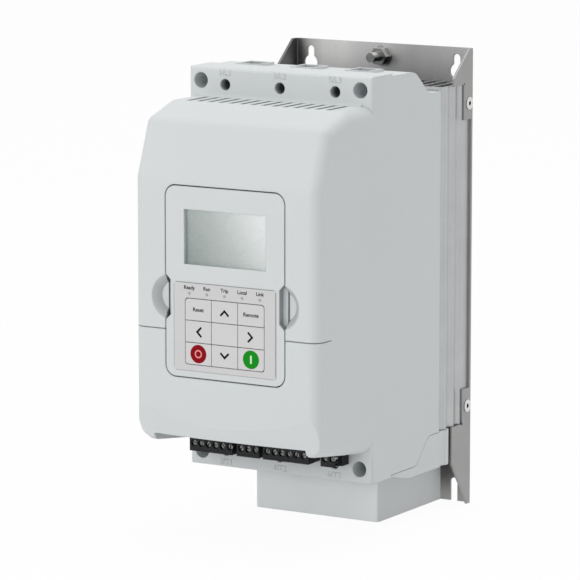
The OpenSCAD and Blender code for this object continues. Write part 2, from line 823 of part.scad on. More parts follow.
module_w = 20;
module_l = 93;
module_z = 10;
module_h = 30;
module_foot = 9;
module_step = 13;
module_screw_in = 6.5;
module_screw_dia = 5;
module_tap = 8;
head_dia = 9;
head_h = 4;
bar_w = 15;
bar_t = 2;
bar_end = 7;
tap_down = 24;
tap_up = 26;
tap_z = [module_z - tap_down, module_z + tap_up];
module_low = module_z - module_l / 2;
module_top = module_z + module_l / 2;
module_ends = [module_low + module_screw_in, module_top - module_screw_in];
module_d = sink_d + module_h;
bar_front = module_d + bar_t;

module thyristor_module(k) color([0.13, 0.13, 0.14]) {
  difference() {
    union() {
      block(phases[k], module_w, sink_d, sink_d + module_foot, module_low, module_top);
      block(phases[k], module_w, sink_d, module_d, module_low + module_step, module_top - module_step);
    }
    for (z = module_ends) rod(phases[k], z, module_screw_dia + 1, sink_d - past, module_d);
    for (z = tap_z) rod(phases[k], z, module_screw_dia + 2 * fit, module_d - module_tap, module_d + past);
  }
}

module module_screws() color([0.7, 0.7, 0.72]) {
  for (x = phases, z = module_ends)
    slot_screw(x, z, head_dia, head_h, module_screw_dia, sink_d + module_foot, sink_d - pin_depth + past, 30);
}

module busbar_screws() color([0.7, 0.7, 0.72]) {
  for (x = phases, z = tap_z)
    slot_screw(x, z, head_dia, head_h, module_screw_dia, bar_front, module_d - module_tap + past, 60);
}

cage_w = 20;
cage_h = 12;
cage_t = 2;
cage_front = 3.5;
cage_inset = 0.6;
clamp_screw_dia = 3;
clamp_head_dia = 6;
clamp_head_h = 3;
line_cage_l = 22;
load_cage_l = 20;
line_cage = [shelf_d - line_cage_l, shelf_d];
load_cage = [ledge_d - wall - clamp_head_h - load_cage_l, ledge_d - wall - clamp_head_h];
line_bar_d = line_cage[0] + cage_t + seat_gap;
load_bar_d = load_cage[0] + cage_t + seat_gap;
line_bar_rise = 6;
load_bar_drop = 28;
line_fold = 19.3;
load_fold = 35.5;
line_turn = line_z - line_fold;
load_turn = load_z - load_fold;
line_tip = line_z + cage_h / 2 - cage_inset;
load_tip = load_z + cage_h / 2 - cage_inset;

// Flat bar along a folded line of three stretches, from its foot on the module to its tip in the clamp
function mitre(run, climb) = bar_t * tan(atan2(run, abs(climb)) / 2) * sign(climb);
function folded(foot, turn, climb, bar_d, tip) = let (m = mitre(bar_d - module_d, climb)) [
  [-module_d, foot], [-module_d, turn], [-bar_d, turn + climb], [-bar_d, tip],
  [-bar_d - bar_t, tip], [-bar_d - bar_t, turn + climb - m], [-bar_front, turn - m], [-bar_front, foot]];

module busbar(x, tap, points) {
  translate([x, 0, 0]) difference() {
    across(points, bar_w);
    rod(0, tap, module_screw_dia + 2 * fit, module_d - past, bar_front + past);
  }
}

module line_busbar(k) color([0.72, 0.45, 0.3])
  busbar(phases[k], tap_z[1], folded(tap_z[1] - bar_end, line_turn, line_bar_rise, line_bar_d, line_tip));

module load_busbar(k) color([0.72, 0.45, 0.3])
  busbar(phases[k], tap_z[0], folded(tap_z[0] + bar_end, -load_turn, -load_bar_drop, load_bar_d, -load_tip));

// Cage of a cable clamp round the end of its busbar
module cage(x, z, rear, front) {
  difference() {
    block(x, cage_w, rear, front, z - cage_h / 2, z + cage_h / 2);
    block(x, bar_w + 2 * seat_gap, rear + cage_t, front - cage_front, z - cage_h, z + cage_h);
    rod(x, z, clamp_screw_dia + 2 * fit, front - cage_front - past, front + past);
  }
}

module line_clamps() color([0.62, 0.63, 0.64]) {
  for (x = phases) cage(x, line_z, line_cage[0], line_cage[1]);
}

module load_clamps() color([0.62, 0.63, 0.64]) {
  for (x = phases) cage(x, -load_z, load_cage[0], load_cage[1]);
}

module clamp_screw(x, z, seat, turn) {
  slot_screw(x, z, clamp_head_dia, clamp_head_h, clamp_screw_dia, seat, seat - cage_front, turn);
}

module clamp_screws() color([0.55, 0.56, 0.57]) {
  for (k = [0:2]) {
    clamp_screw(phases[k], line_z, line_cage[1], 20 + 50 * k);
    clamp_screw(phases[k], -load_z, load_cage[1], 75 - 40 * k);
  }
}

sensor_z = [-56, -42];
sensor_rim = 6;
sensor_l = 22;
sensor_over = 12;
sensor_w = bar_w + 2 * sensor_rim;
sensor_front = module_d + sensor_over;
sensor_rear = sensor_front - sensor_l;

module current_transformers() color([0.16, 0.2, 0.3]) {
  for (x = phases) difference() {
    block(x, sensor_w, sensor_rear, sensor_front, sensor_z[0], sensor_z[1]);
    block(x, bar_w + 2 * seat_gap, module_d - seat_gap, bar_front + seat_gap,
      sensor_z[0] - past, sensor_z[1] + past);
  }
}

// Boards

board_gap = 3;
board_w = inner_w - 2 * board_gap;
power_gap = 15;
power_d = bar_front + power_gap;
power_z = [-34, 75];
post_dia = 7;
post_pin_dia = 4;
post_tap = 8;
post_in = 4;
post_x = board_w / 2 - post_in;
post_z = [-28, 69];
control_post_in = 8;
control_post_x = board_w / 2 - control_post_in;
control_post_z = [-20, 62];
control_post_dia = 6;
control_z = [-86, 70];
board_screw_dia = 3;
board_hole_dia = 4;
board_head_dia = 6;
board_head_h = 2;

module board_holes(x, zs, d) {
  for (s = sides, z = zs) rod(s * x, z, board_hole_dia, d - past, d + board_t + past);
}

module power_board() color([0.12, 0.35, 0.2]) {
  difference() {
    block(0, board_w, power_d, power_d + board_t, power_z[0], power_z[1]);
    board_holes(post_x, post_z, power_d);
    board_holes(control_post_x, control_post_z, power_d);
  }
}

// Round post with a pin at its foot and a tapped end
module post(x, z, dia, rear, front, pin_dia, pin_l) {
  difference() {
    union() {
      rod(x, z, dia, rear, front);
      rod(x, z, pin_dia, rear - pin_l, rear);
    }
    rod(x, z, board_screw_dia + 2 * fit, front - post_tap, front + past);
  }
}

module board_posts() color([0.75, 0.72, 0.6]) {
  for (s = sides, z = post_z) post(s * post_x, z, post_dia, sink_d, power_d, post_pin_dia, pin_depth - past);
}

relay_w = 29;
relay_h = 21;
relay_z = [0, 41];

module bypass_relays() color([0.2, 0.22, 0.25]) {
  for (x = phases) block(x, relay_w, power_d + board_t, power_d + board_t + relay_h, relay_z[0], relay_z[1]);
}

module control_board() color([0.12, 0.35, 0.2]) {
  difference() {
    block(0, board_w, control_d, control_front, control_z[0], control_z[1]);
    board_holes(control_post_x, control_post_z, control_d);
  }
}

module control_posts() color([0.75, 0.72, 0.6]) {
  for (s = sides, z = control_post_z)
    post(s * control_post_x, z, control_post_dia, power_d + board_t, control_d, board_screw_dia, 2 * board_t);
}

module board_screw(x, z, d) {
  slot_screw(x, z, board_head_dia, board_head_h, board_screw_dia, d + board_t, d - post_tap + past, 15);
}

module board_screws() color([0.7, 0.7, 0.72]) {
  for (s = sides, z = post_z) board_screw(s * post_x, z, power_d);
  for (s = sides, z = control_post_z) board_screw(s * control_post_x, z, control_d);
}

supply_in = 28;
supply_w = 34;
supply_z = [22, 56];
supply_gap = 17.6;
can_in = [16, 30, 44];
can_z = 45;
can_dia = 12;
can_gap = 15.6;

module supply_transformer() color([0.75, 0.65, 0.2]) {
  block(supply_in - board_w / 2, supply_w, control_front, bay_floor - bay_wall - supply_gap,
    supply_z[0], supply_z[1]);
}

module capacitors() color([0.15, 0.2, 0.4]) {
  for (x = can_in) rod(board_w / 2 - x, can_z, can_dia, control_front, bay_floor - bay_wall - can_gap);
}

// Control terminals

block_ways = [6, 3, 6, 2];
block_steps = [8, 8.3, 14.8];
row_in = 5.95;
end_left = 3;
end_right = [1.8, 2.6, 3.4, 1.4];
header_top = -80;
plug_top = -plug_low + plug_h;
way_screw_dia = 3.4;
way_hole_dia = 4;
way_depth = 4;
way_sink = 1.2;
way_slot = [6, 1.6, 0.7];
wire_w = 3;
wire_h = 2;
wire_in = 2;
wire_d = header_d + wire_in;
way_z = -plug_low + plug_h / 2;
function first_way(k) = k == 0 ? -inner_w / 2 + row_in + end_left :
  first_way(k - 1) + (block_ways[k - 1] - 1) * way_pitch + block_steps[k - 1];
way_x = [for (b = [0:len(block_ways) - 1]) for (k = [0:block_ways[b] - 1]) first_way(b) + k * way_pitch];

// Block behind or in front of one row of ways, with a margin at each end
module way_block(b, left, right, rear, front, low, top) {
  w = (block_ways[b] - 1) * way_pitch + left + right;
  block(first_way(b) - left + w / 2, w, rear, front, low, top);
}

module terminal_headers() color([0.1, 0.11, 0.12]) {
  for (b = [0:len(block_ways) - 1]) {
    way_block(b, end_left, end_left, control_front, header_d, -plug_low, header_top);
    way_block(b, end_left, end_left, ledge_d + seat_gap, header_d, -plug_low, control_z[0] - seat_gap);
  }
}

module terminal_plugs() color([0.12, 0.13, 0.14]) {
  difference() {
    for (b = [0:len(block_ways) - 1])
      way_block(b, end_left, end_right[b], header_d, plug_d, -plug_low, plug_top);
    for (x = way_x) {
      rod(x, way_z, way_hole_dia, plug_d - way_depth, plug_d + past);
      block(x, wire_w, wire_d, wire_d + wire_w, -plug_low - past, -plug_low + wire_h);
    }
  }
}

module terminal_screws() color([0.75, 0.76, 0.78]) {
  for (k = [0:len(way_x) - 1]) difference() {
    rod(way_x[k], way_z, way_screw_dia, plug_d - way_depth, plug_d - way_sink);
    translate([way_x[k], -plug_d + way_sink, way_z]) rotate([0, 35 + 47 * k, 0])
      cube(way_slot, center = true);
  }
}

// Keypad unit

skin = 2.2;
hmi_side = 2;
hmi_back_in = 0.4;
hmi_front_l = 9.3;
hmi_rear = panel_d - hmi_depth;
hmi_split = panel_d - hmi_front_l;
hmi_post_dia = 5;
hmi_post_x = 30;
hmi_post_up = 45;
hmi_post_z = [hmi_z - hmi_post_up, hmi_z + hmi_post_up];
overlay_t = 0.3;
overlay_r = 1.5;
overlay_down = 26.45;
keys_w = 3 * key_pitch_x;
keys_h = 3 * key_pitch_z;
keys_z = hmi_z - keys_down;
overlay_z = hmi_z - overlay_down;
lcd_z = hmi_z + lcd_up;
key_t = 2;
key_nub_dia = 6;
key_nub_h = 0.3;
key_front = panel_d + overlay_t;
key_rear = key_front - key_t;
mat_front = key_rear - key_nub_h - key_travel - seat_gap;
mat_t = 1.2;
hmi_board_front = mat_front - mat_t;
hmi_board_rear = hmi_board_front - board_t;
hmi_board_in = [14, 10];
lcd_rim = [6, 4];
lcd_sunk = 0.3;
mat_rim = [4, 2];
led_pitch = 12.15;
led_down = 6.5;
link_w = 12.8;
link_h = 8.8;
link_up = 14.6;
link_l = 6;
socket_l = 12;
socket_t = 2.5;
link_z = hmi_z + link_up;
notch_in = 3.5;

module notches() {
  for (s = sides) translate([s * hmi_w / 2, scoop_z]) polygon([
    [s * past, -scoop_r - past], [s * past, scoop_r + past],
    [-s * notch_in, scoop_r - notch_in], [-s * notch_in, notch_in - scoop_r]]);
}

module led_spots(d) {
  for (k = [-2:2]) translate([k * led_pitch, hmi_z - led_down]) circle(d = d);
}

module key_field(grow) {
  translate([0, keys_z]) rounded_rect(keys_w + grow, keys_h + grow, field_r);
}

module lcd_shape(w, h) {
  translate([0, lcd_z]) square([w, h], center = true);
}

// Way of the keypad's plug through a wall, with room round it
module link_room(rear, front) {
  block(0, link_w + 2 * seat_gap, rear, front,
    link_z - link_h / 2 - seat_gap, link_z + link_h / 2 + seat_gap);
}

module hmi_bezel() color([0.84, 0.86, 0.86]) {
  difference() {
    facing(hmi_split, hmi_front_l) bay_shape(0);
    facing(hmi_split - past, hmi_front_l - skin + past) difference() {
      bay_shape(-hmi_side);
      for (s = sides) translate([s * (hmi_w / 2 - notch_in), scoop_z])
        square([2 * hmi_side, 2 * scoop_r], center = true);
    }
    facing(hmi_split - past, hmi_depth) lcd_shape(lcd_w, lcd_h);
    facing(hmi_split - past, hmi_depth) key_field(key_gap);
    facing(hmi_split - past, hmi_depth) led_spots(led_dia + 2 * seat_gap);
    facing(panel_d - scoop_depth, scoop_depth + past) notches();
  }
}

module hmi_back() color([0.25, 0.26, 0.27]) {
  difference() {
    facing(hmi_rear, hmi_split - hmi_rear) bay_shape(-hmi_back_in);
    facing(hmi_rear + hmi_side, hmi_depth) bay_shape(-hmi_side - hmi_back_in);
    link_room(hmi_rear - past, hmi_rear + hmi_side + past);
  }
  for (s = sides, z = hmi_post_z) rod(s * hmi_post_x, z, hmi_post_dia, hmi_rear + hmi_side, hmi_board_rear);
}

module hmi_board() color([0.12, 0.35, 0.2]) {
  facing(hmi_board_rear, board_t) translate([0, hmi_z])
    square([hmi_w - hmi_board_in[0], hmi_h - hmi_board_in[1]], center = true);
}

module hmi_plug() color([0.15, 0.15, 0.16]) {
  block(0, link_w, bay_floor - link_l, hmi_board_rear, link_z - link_h / 2, link_z + link_h / 2);
}

module hmi_socket() color([0.15, 0.15, 0.16]) {
  difference() {
    block(0, link_w + 2 * socket_t, bay_floor - socket_l, bay_floor - bay_wall,
      link_z - link_h / 2 - socket_t, link_z + link_h / 2 + socket_t);
    link_room(bay_floor - link_l - 2 * past, bay_floor);
  }
}

module lcd_lens() color([0.8, 0.85, 0.83, 0.6]) {
  facing(panel_d - skin, skin - lcd_sunk) lcd_shape(lcd_w - 2 * fit, lcd_h - 2 * fit);
}

module lcd_module() color([0.6, 0.66, 0.62]) {
  facing(hmi_board_front, panel_d - skin - hmi_board_front) lcd_shape(lcd_w + lcd_rim[0], lcd_h + lcd_rim[1]);
}

module key_mat() color([0.5, 0.5, 0.52]) {
  facing(hmi_board_front, mat_t) translate([0, keys_z])
    square([keys_w + mat_rim[0], keys_h + mat_rim[1]], center = true);
}

module keypad_overlay() color([0.84, 0.83, 0.83]) {
  facing(panel_d, overlay_t) difference() {
    translate([0, overlay_z]) rounded_rect(overlay_w, overlay_h, overlay_r);
    key_field(key_gap);
    led_spots(led_dia + 2 * seat_gap);
  }
}

module led_lenses() color([0.85, 0.86, 0.84]) {
  facing(hmi_board_front + seat_gap, key_front - hmi_board_front - seat_gap) led_spots(led_dia);
}

// One key of the field, by its column and row from the middle
module key_tile(column, row) {
  facing(key_rear, key_t) intersection() {
    translate([column * key_pitch_x, keys_z + row * key_pitch_z])
      square([key_pitch_x - key_gap, key_pitch_z - key_gap], center = true);
    key_field(-key_gap);
  }
}

module key_blank() color([0.84, 0.83, 0.83]) {
  key_tile(0, 0);
  rod(0, keys_z, key_nub_dia, mat_front, key_rear);
}

module key(column, row) color([0.84, 0.83, 0.83]) {
  key_tile(column, row);
  rod(column * key_pitch_x, keys_z + row * key_pitch_z, key_nub_dia, key_rear - key_nub_h, key_rear);
}

back_plate();
plate_screws();
earth_stud();
earth_nut();
heat_sink();
main_housing();
lower_cover();
housing_screws();
air_duct();
fan_box();
fan_frame();
fan_rotor();
fan_guard();
fan_screws();
thyristor_module(0);  // thyristor_module_1
thyristor_module(1);  // thyristor_module_2
thyristor_module(2);  // thyristor_module_3
module_screws();
line_busbar(0);  // line_busbar_1
line_busbar(1);  // line_busbar_2
line_busbar(2);  // line_busbar_3
load_busbar(0);  // load_busbar_1
load_busbar(1);  // load_busbar_2
load_busbar(2);  // load_busbar_3
busbar_screws();
line_clamps();
load_clamps();
clamp_screws();
current_transformers();
power_board();
board_posts();
bypass_relays();
control_board();
control_posts();
board_screws();
supply_transformer();
capacitors();
terminal_headers();
terminal_plugs();
terminal_screws();
hmi_bezel();
hmi_back();
hmi_board();
hmi_plug();
hmi_socket();
lcd_lens();
lcd_module();
key_mat();
keypad_overlay();
led_lenses();
key_blank();
key(-1, 1);  // key_reset
key(0, 1);  // key_up
key(1, 1);  // key_remote
key(-1, 0);  // key_left
key(1, 0);  // key_right
key(-1, -1);  // key_stop
key(0, -1);  // key_down
key(1, -1);  // key_start
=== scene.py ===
import math

import bmesh
import bpy
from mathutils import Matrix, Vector


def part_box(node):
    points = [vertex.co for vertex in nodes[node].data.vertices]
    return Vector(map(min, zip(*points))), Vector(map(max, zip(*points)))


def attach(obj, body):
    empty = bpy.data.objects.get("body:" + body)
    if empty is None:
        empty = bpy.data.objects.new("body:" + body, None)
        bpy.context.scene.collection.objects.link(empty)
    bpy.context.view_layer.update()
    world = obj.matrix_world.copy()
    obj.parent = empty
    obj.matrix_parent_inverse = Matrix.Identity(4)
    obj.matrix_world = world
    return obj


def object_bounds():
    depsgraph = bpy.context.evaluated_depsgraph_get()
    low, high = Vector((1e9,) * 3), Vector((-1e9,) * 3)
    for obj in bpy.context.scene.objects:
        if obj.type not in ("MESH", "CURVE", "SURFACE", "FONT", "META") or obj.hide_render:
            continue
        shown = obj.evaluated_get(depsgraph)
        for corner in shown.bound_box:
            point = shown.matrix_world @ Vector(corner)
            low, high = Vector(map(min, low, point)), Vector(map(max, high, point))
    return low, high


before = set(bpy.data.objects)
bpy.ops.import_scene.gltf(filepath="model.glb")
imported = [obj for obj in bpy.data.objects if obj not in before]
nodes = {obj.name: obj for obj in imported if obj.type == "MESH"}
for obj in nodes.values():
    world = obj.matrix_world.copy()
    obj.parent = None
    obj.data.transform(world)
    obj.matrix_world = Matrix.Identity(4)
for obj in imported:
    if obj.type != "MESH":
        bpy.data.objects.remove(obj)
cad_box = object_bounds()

# Back plate: a panel of zinc-coated sheet steel, cut and folded into two side flanges.
# The coat is dull and faintly streaked along the rolling direction. Four socket screws hold its tabs
# to the heat sink, and a welded stud with a nut takes the earth wire.
MM = 0.001
black = (0.0, 0.0, 0.0, 1.0)


class Signal:
    """A socket in a material; Python's operators on it add Math nodes."""

    def __init__(self, tree, socket=None):
        self.tree = tree
        self.socket = socket

    def node(self, kind, settings, inputs, output=0):
        """Adds any node: its settings first, then the values or links of its sockets."""
        made = self.tree.nodes.new(kind)
        for key, value in settings.items():
            if key == "stops":
                while len(made.color_ramp.elements) < len(value):
                    made.color_ramp.elements.new(1.0)
                for element, (place, colour) in zip(made.color_ramp.elements, value):
                    element.position = place
                    element.color = colour
            else:
                setattr(made, key, value)
        for key, value in inputs.items():
            if isinstance(value, Signal):
                self.tree.links.new(value.socket, made.inputs[key])
            else:
                made.inputs[key].default_value = value
        return Signal(self.tree, made.outputs[output])

    def maths(self, operation, first, second):
        return self.node("ShaderNodeMath", {"operation": operation}, {0: first, 1: second})

    def __add__(self, other):
        return self.maths("ADD", self, other)

    def __radd__(self, other):
        return self.maths("ADD", other, self)

    def __sub__(self, other):
        return self.maths("SUBTRACT", self, other)

    def __rsub__(self, other):
        return self.maths("SUBTRACT", other, self)

    def __mul__(self, other):
        return self.maths("MULTIPLY", self, other)

    def __rmul__(self, other):
        return self.maths("MULTIPLY", other, self)

    def __gt__(self, other):
        return self.maths("GREATER_THAN", self, other)

    def __lt__(self, other):
        return self.maths("LESS_THAN", self, other)


def finish_of(name):
    """A fresh material with its shader: the material, a signal to build from and the shader node."""
    made = bpy.data.materials.new(name)
    made.use_nodes = True
    tree = made.node_tree
    return made, Signal(tree), tree.nodes["Principled BSDF"]


def feed(shader, **inputs):
    """Links or sets the shader's sockets; an underscore stands for the space in a socket's name."""
    for key, value in inputs.items():
        socket = shader.inputs[key.replace("_", " ")]
        if isinstance(value, Signal):
            value.tree.links.new(value.socket, socket)
        else:
            socket.default_value = value


def linear(*screen):
    """A colour as it looks on screen, 0 to 255, as the shader's linear colour."""
    shares = [level / 255 for level in screen]
    return tuple(((s + 0.055) / 1.055) ** 2.4 if s > 0.04 else s / 12.92 for s in shares) + (1.0,)


def tinted(signal, shade, dark, light):
    """A colour that runs from dark to light as the shade runs from 0 to 1."""
    return signal.node("ShaderNodeMix", {"data_type": "RGBA"}, {0: shade, 6: dark, 7: light}, output=2)


def ramp(signal, shade, stops):
    """A colour that runs through the stops, each a place from 0 to 1 and a colour or a grey level."""
    colours = [(at, tone if isinstance(tone, tuple) else (tone, tone, tone, 1.0)) for at, tone in stops]
    return signal.node("ShaderNodeValToRGB", {"stops": colours}, {"Fac": shade})


def grain(signal, scale, detail=3.0, rough=0.55):
    """Noise from 0 to 1 with the given cells per metre along each axis."""
    place = signal.node("ShaderNodeTexCoord", {}, {}, output="Object")
    cells = signal.node("ShaderNodeMapping", {}, {"Vector": place, "Scale": scale})
    sockets = {"Vector": cells, "Scale": 1.0, "Detail": detail, "Roughness": rough}
    return signal.node("ShaderNodeTexNoise", {}, sockets)


def rounded_edges(signal, radius):
    return signal.node("ShaderNodeBevel", {"samples": 6}, {"Radius": radius})


def bumped(signal, height, depth, normal):
    sockets = {"Strength": 1.0, "Distance": depth, "Height": height, "Normal": normal}
    return signal.node("ShaderNodeBump", {}, sockets)


def parts_of(signal, kind):
    """The x, y and z parts of a texture coordinate."""
    vector = signal.node("ShaderNodeTexCoord", {}, {}, output=kind)
    return [signal.node("ShaderNodeSeparateXYZ", {}, {0: vector}, output=axis) for axis in range(3)]


def place_of(signal):
    return parts_of(signal, "Object")


def facing(signal):
    return parts_of(signal, "Normal")


def sheet_metal(name, tones, streaks, roughness, edge, painted_reflection=None):
    """Bare or plated metal between two tones, with streaks and softly broken edges.

    The optional function gives painted reflection: the share of light that a place throws back, painted into
    the colour.
    """
    cloud_share, streak_gloss, streak_depth = 0.45, 0.16, 0.02 * MM
    made, signal, shader = finish_of(name)
    cloud = grain(signal, (60, 60, 60))
    streak = grain(signal, streaks, detail=2.0)
    colour = tinted(signal, cloud * cloud_share + streak * (1 - cloud_share), *tones)
    if painted_reflection:
        colour = tinted(signal, painted_reflection(signal), black, colour)
    feed(shader, Base_Color=colour, Metallic=0.85, Roughness=roughness + (streak - 0.5) * streak_gloss,
         Normal=bumped(signal, streak, streak_depth, rounded_edges(signal, edge)))
    return made


def dress(name, finish):
    """Puts a finish on a CAD node."""
    mesh = nodes[name].data
    mesh.materials.clear()
    mesh.materials.append(finish)


def fold_shade(signal):
    """Painted reflection across the plate: its left fold mirrors a dark corner, its middle the bright room.
    """
    flange_edge, flange_gain = 0.012, -9.0
    low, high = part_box("back_plate")
    x, y = place_of(signal)[:2]
    across = (x - low.x) * (1 / (high.x - low.x))
    tone = ramp(signal, across, ((0.0, 0.22), (0.035, 0.20), (0.08, 0.52), (0.16, 0.80), (0.28, 0.90),
                                 (0.5, 0.69), (0.66, 0.58), (0.8, 0.61), (0.97, 0.68)))
    return tone + (across < flange_edge) * (y * flange_gain)


def painted_gleam(signal):
    """Painted reflection on bright plated steel: it gleams towards the sky and is dark towards the floor."""
    upward = facing(signal)[2] * 0.5 + 0.5
    return ramp(signal, upward, ((0.0, 0.02), (0.4, 0.03), (0.5, 0.24), (0.58, 0.9), (0.7, 1.0)))


def painted_thread_and_gleam(signal):
    """The stud's painted gleam, with painted shade in dark stripes for the flanks of its thread; the end face
    has only the gleam.
    """
    thread_pitch, painted_thread_shade, end_facing = 1.0 * MM, 0.6, -0.5
    along = place_of(signal)[1] * (2 * math.pi / thread_pitch)
    turn = signal.node("ShaderNodeMath", {"operation": "SINE"}, {0: along})
    flank = (turn > 0.0) * (facing(signal)[1] > end_facing)
    return painted_gleam(signal) * (1.0 - flank * painted_thread_shade)


def socketed(signal):
    """Painted shade: the screws are dark in their sockets, below the heads' outer faces."""
    face_skin, painted_socket_shade = 0.35 * MM, 0.92
    below_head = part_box("plate_screws")[1].x - face_skin
    x = place_of(signal)[0]
    return 1.0 - (x * x < below_head ** 2) * painted_socket_shade


zinc_tones = linear(172, 172, 171), linear(206, 206, 205)
# Painted reflection: the sheet's colour is darkened at its left fold and lightened in its middle.
zinc_sheet = sheet_metal("zinc_sheet", zinc_tones, streaks=(900, 900, 30), roughness=0.46,
                         edge=0.5 * MM, painted_reflection=fold_shade)
dress("back_plate", zinc_sheet)

head_tones = linear(200, 200, 198), linear(236, 236, 234)
# Painted shade: the socket screws are coloured dark in their sockets.
socket_screw = sheet_metal("socket_screw", head_tones, streaks=(400, 400, 400), roughness=0.34,
                           edge=0.3 * MM, painted_reflection=socketed)
dress("plate_screws", socket_screw)

bright_tones = linear(215, 215, 213), linear(245, 245, 243)
# Painted reflection: bright steel is coloured light on faces towards the sky and dark on faces towards the
# floor.
bright_steel = sheet_metal("bright_steel", bright_tones, streaks=(700, 700, 700), roughness=0.22,
                           edge=0.3 * MM, painted_reflection=painted_gleam)
dress("earth_nut", bright_steel)
# Painted shade: the stud's thread is dark stripes in its colour, over the painted gleam.
stud_steel = sheet_metal("threaded_steel", bright_tones, streaks=(700, 700, 700), roughness=0.22,
                         edge=0.1 * MM, painted_reflection=painted_thread_and_gleam)
dress("earth_stud", stud_steel)


# Heat sink: an aluminium extrusion with fluted sides and fins towards the wall, left as extruded.
# Fine drawing lines run up its length, and zinc-plated screws from its back hold the housing.
sink_tones = linear(168, 169, 170), linear(205, 206, 207)
extruded = sheet_metal("extruded_aluminium", sink_tones, streaks=(1500, 1500, 12), roughness=0.42,
                       edge=0.4 * MM)
dress("heat_sink", extruded)
screw_tones = linear(170, 170, 168), linear(222, 222, 220)
zinc_screw = sheet_metal("zinc_screw", screw_tones, streaks=(400, 400, 400), roughness=0.34, edge=0.3 * MM)
dress("housing_screws", zinc_screw)


# Housing and lower cover: light grey mouldings with a very fine spark texture.
# The housing carries both terminal ledges and the hood; the cover closes the hood's lower front
# under a fine seam and clips on.
light_grey = linear(219, 223, 224)
ledge_face = -125 * MM
phase_pitch = 38.1 * MM
bezel_low, bezel_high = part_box("hmi_bezel")
bezel_mid = (bezel_low.z + bezel_high.z) / 2
bezel_half = (bezel_high.z - bezel_low.z) / 2


def moulded(name, colour, edge, depth=0.01 * MM, gloss=0.5, shine=0.4, painted_shade=None, joint=None):
    """Moulded plastic: a fine spark texture, faint flow clouds and softly broken edges.

    The optional shading function gives painted shade: the share of its colour that a place keeps.
    joint marks a tight joint whose edges stay unbroken.
    """
    cloud_dark, spark_gloss = 0.965, 0.1
    made, signal, shader = finish_of(name)
    dark = tuple(c * cloud_dark for c in colour[:3]) + (1.0,)
    cloud = grain(signal, (25, 25, 25), detail=2.0)
    spark = grain(signal, (2600, 2600, 2600), detail=2.0, rough=0.6)
    tone = tinted(signal, cloud, dark, colour)
    if painted_shade:
        tone = tinted(signal, painted_shade(signal), black, tone)
    normal = rounded_edges(signal, edge)
    if joint:
        flat = signal.node("ShaderNodeNewGeometry", {}, {}, output="Normal")
        sockets = {0: joint(signal), 4: normal, 5: flat}
        normal = signal.node("ShaderNodeMix", {"data_type": "VECTOR"}, sockets, output=1)
    feed(shader, Base_Color=tone, Roughness=gloss + (spark - 0.5) * spark_gloss, Specular_IOR_Level=shine,
         Normal=bumped(signal, spark, depth, normal))
    return made


def absolute(signal):
    return signal.node("ShaderNodeMath", {"operation": "ABSOLUTE"}, {0: signal})


def smaller(first, second):
    return first.maths("MINIMUM", first, second)


def past(signal, edge, run):
    """0 up to an edge, then rising to 1 over a run."""
    clamped = {"operation": "MULTIPLY", "use_clamp": True}
    return signal.node("ShaderNodeMath", clamped, {0: signal - edge, 1: 1 / run})


def access_holes(x, y, z):
    """Painted shade: the six round holes in the ledges are darkened towards the inside."""
    line_level, load_level, hole_r, hole_depth = 125.3 * MM, -97.5 * MM, 3.7 * MM, 25 * MM
    lip, fade, painted_hole_shade = 0.3 * MM, 6 * MM, 0.75
    across = absolute(x)
    beside = smaller(across, absolute(across - phase_pitch))
    above = smaller(absolute(z - line_level), absolute(z - load_level))
    within = (beside * beside + above * above < hole_r ** 2) * (y < ledge_face + hole_depth)
    return within * past(y, ledge_face + lip, fade) * painted_hole_shade


def vents(x, y, z):
    """Painted shade: the walls of the hood's vents are darkened, and a half-shaded rim is painted round each
    slot.
    """
    row_half, row_level, hood_top = 50.5 * MM, 100 * MM, 117.6 * MM
    vent_pitch, vent_mid, vent_half, painted_wall_shade = 7.4 * MM, -139.5 * MM, 10.3 * MM, 0.75
    rim_mid, rim_half, rim_w, rim_fade, painted_rim_shade = -139.3 * MM, 12 * MM, 1.5 * MM, 0.5 * MM, 0.4
    row = (absolute(x) < row_half) * (z > row_level)
    walls = row * (absolute(y - vent_mid) < vent_half) * (z < hood_top)
    turn = x.node("ShaderNodeMath", {"operation": "FRACT"}, {0: x * (1 / vent_pitch)})
    beside = absolute(turn - 0.5) * vent_pitch
    painted_rims = row * (absolute(y - rim_mid) < rim_half) * (z > hood_top) * (1.0 - past(beside, rim_w, rim_fade))
    return walls * painted_wall_shade + painted_rims * painted_rim_shade


def keypad_bay(x, y, z):
    """Painted shade: the narrow gap round the keypad is darkened below its mouth."""
    gap, mouth, painted_gap_shade = 1.2 * MM, 2.2 * MM, 0.5
    within = (absolute(x) < bezel_high.x + gap) * (absolute(z - bezel_mid) < bezel_half + gap)
    return within * (y > bezel_low.y + mouth) * painted_gap_shade


def finger_scoops(x, y, z):
    """Painted shade: the sloped walls of the two finger scoops are darkened, more towards their flat floors.
    """
    scoop_in, scoop_level, scoop_r, scoop_depth = 3.5 * MM, 5.6 * MM, 13.8 * MM, 4.6 * MM
    bay_edge, floor_below, floor_facing = 0.4 * MM, 5 * MM, -0.95
    painted_lip_shade, painted_foot_shade = 0.17, 0.16
    across = absolute(x)
    away = across - bezel_high.x + scoop_in
    rise = z - scoop_level
    dish = (away * away + rise * rise < scoop_r ** 2) * (across > bezel_high.x + bay_edge)
    wall = dish * (facing(x)[1] > floor_facing) * (y < bezel_low.y + floor_below)
    return wall * (painted_lip_shade + past(y, bezel_low.y, scoop_depth) * painted_foot_shade)


def housing_shade(signal):
    """Share of its colour that a place of the housing keeps under painted shade in holes, vents, keypad bay
    and scoops.
    """
    place = place_of(signal)
    return 1.0 - access_holes(*place) - vents(*place) - keypad_bay(*place) - finger_scoops(*place)


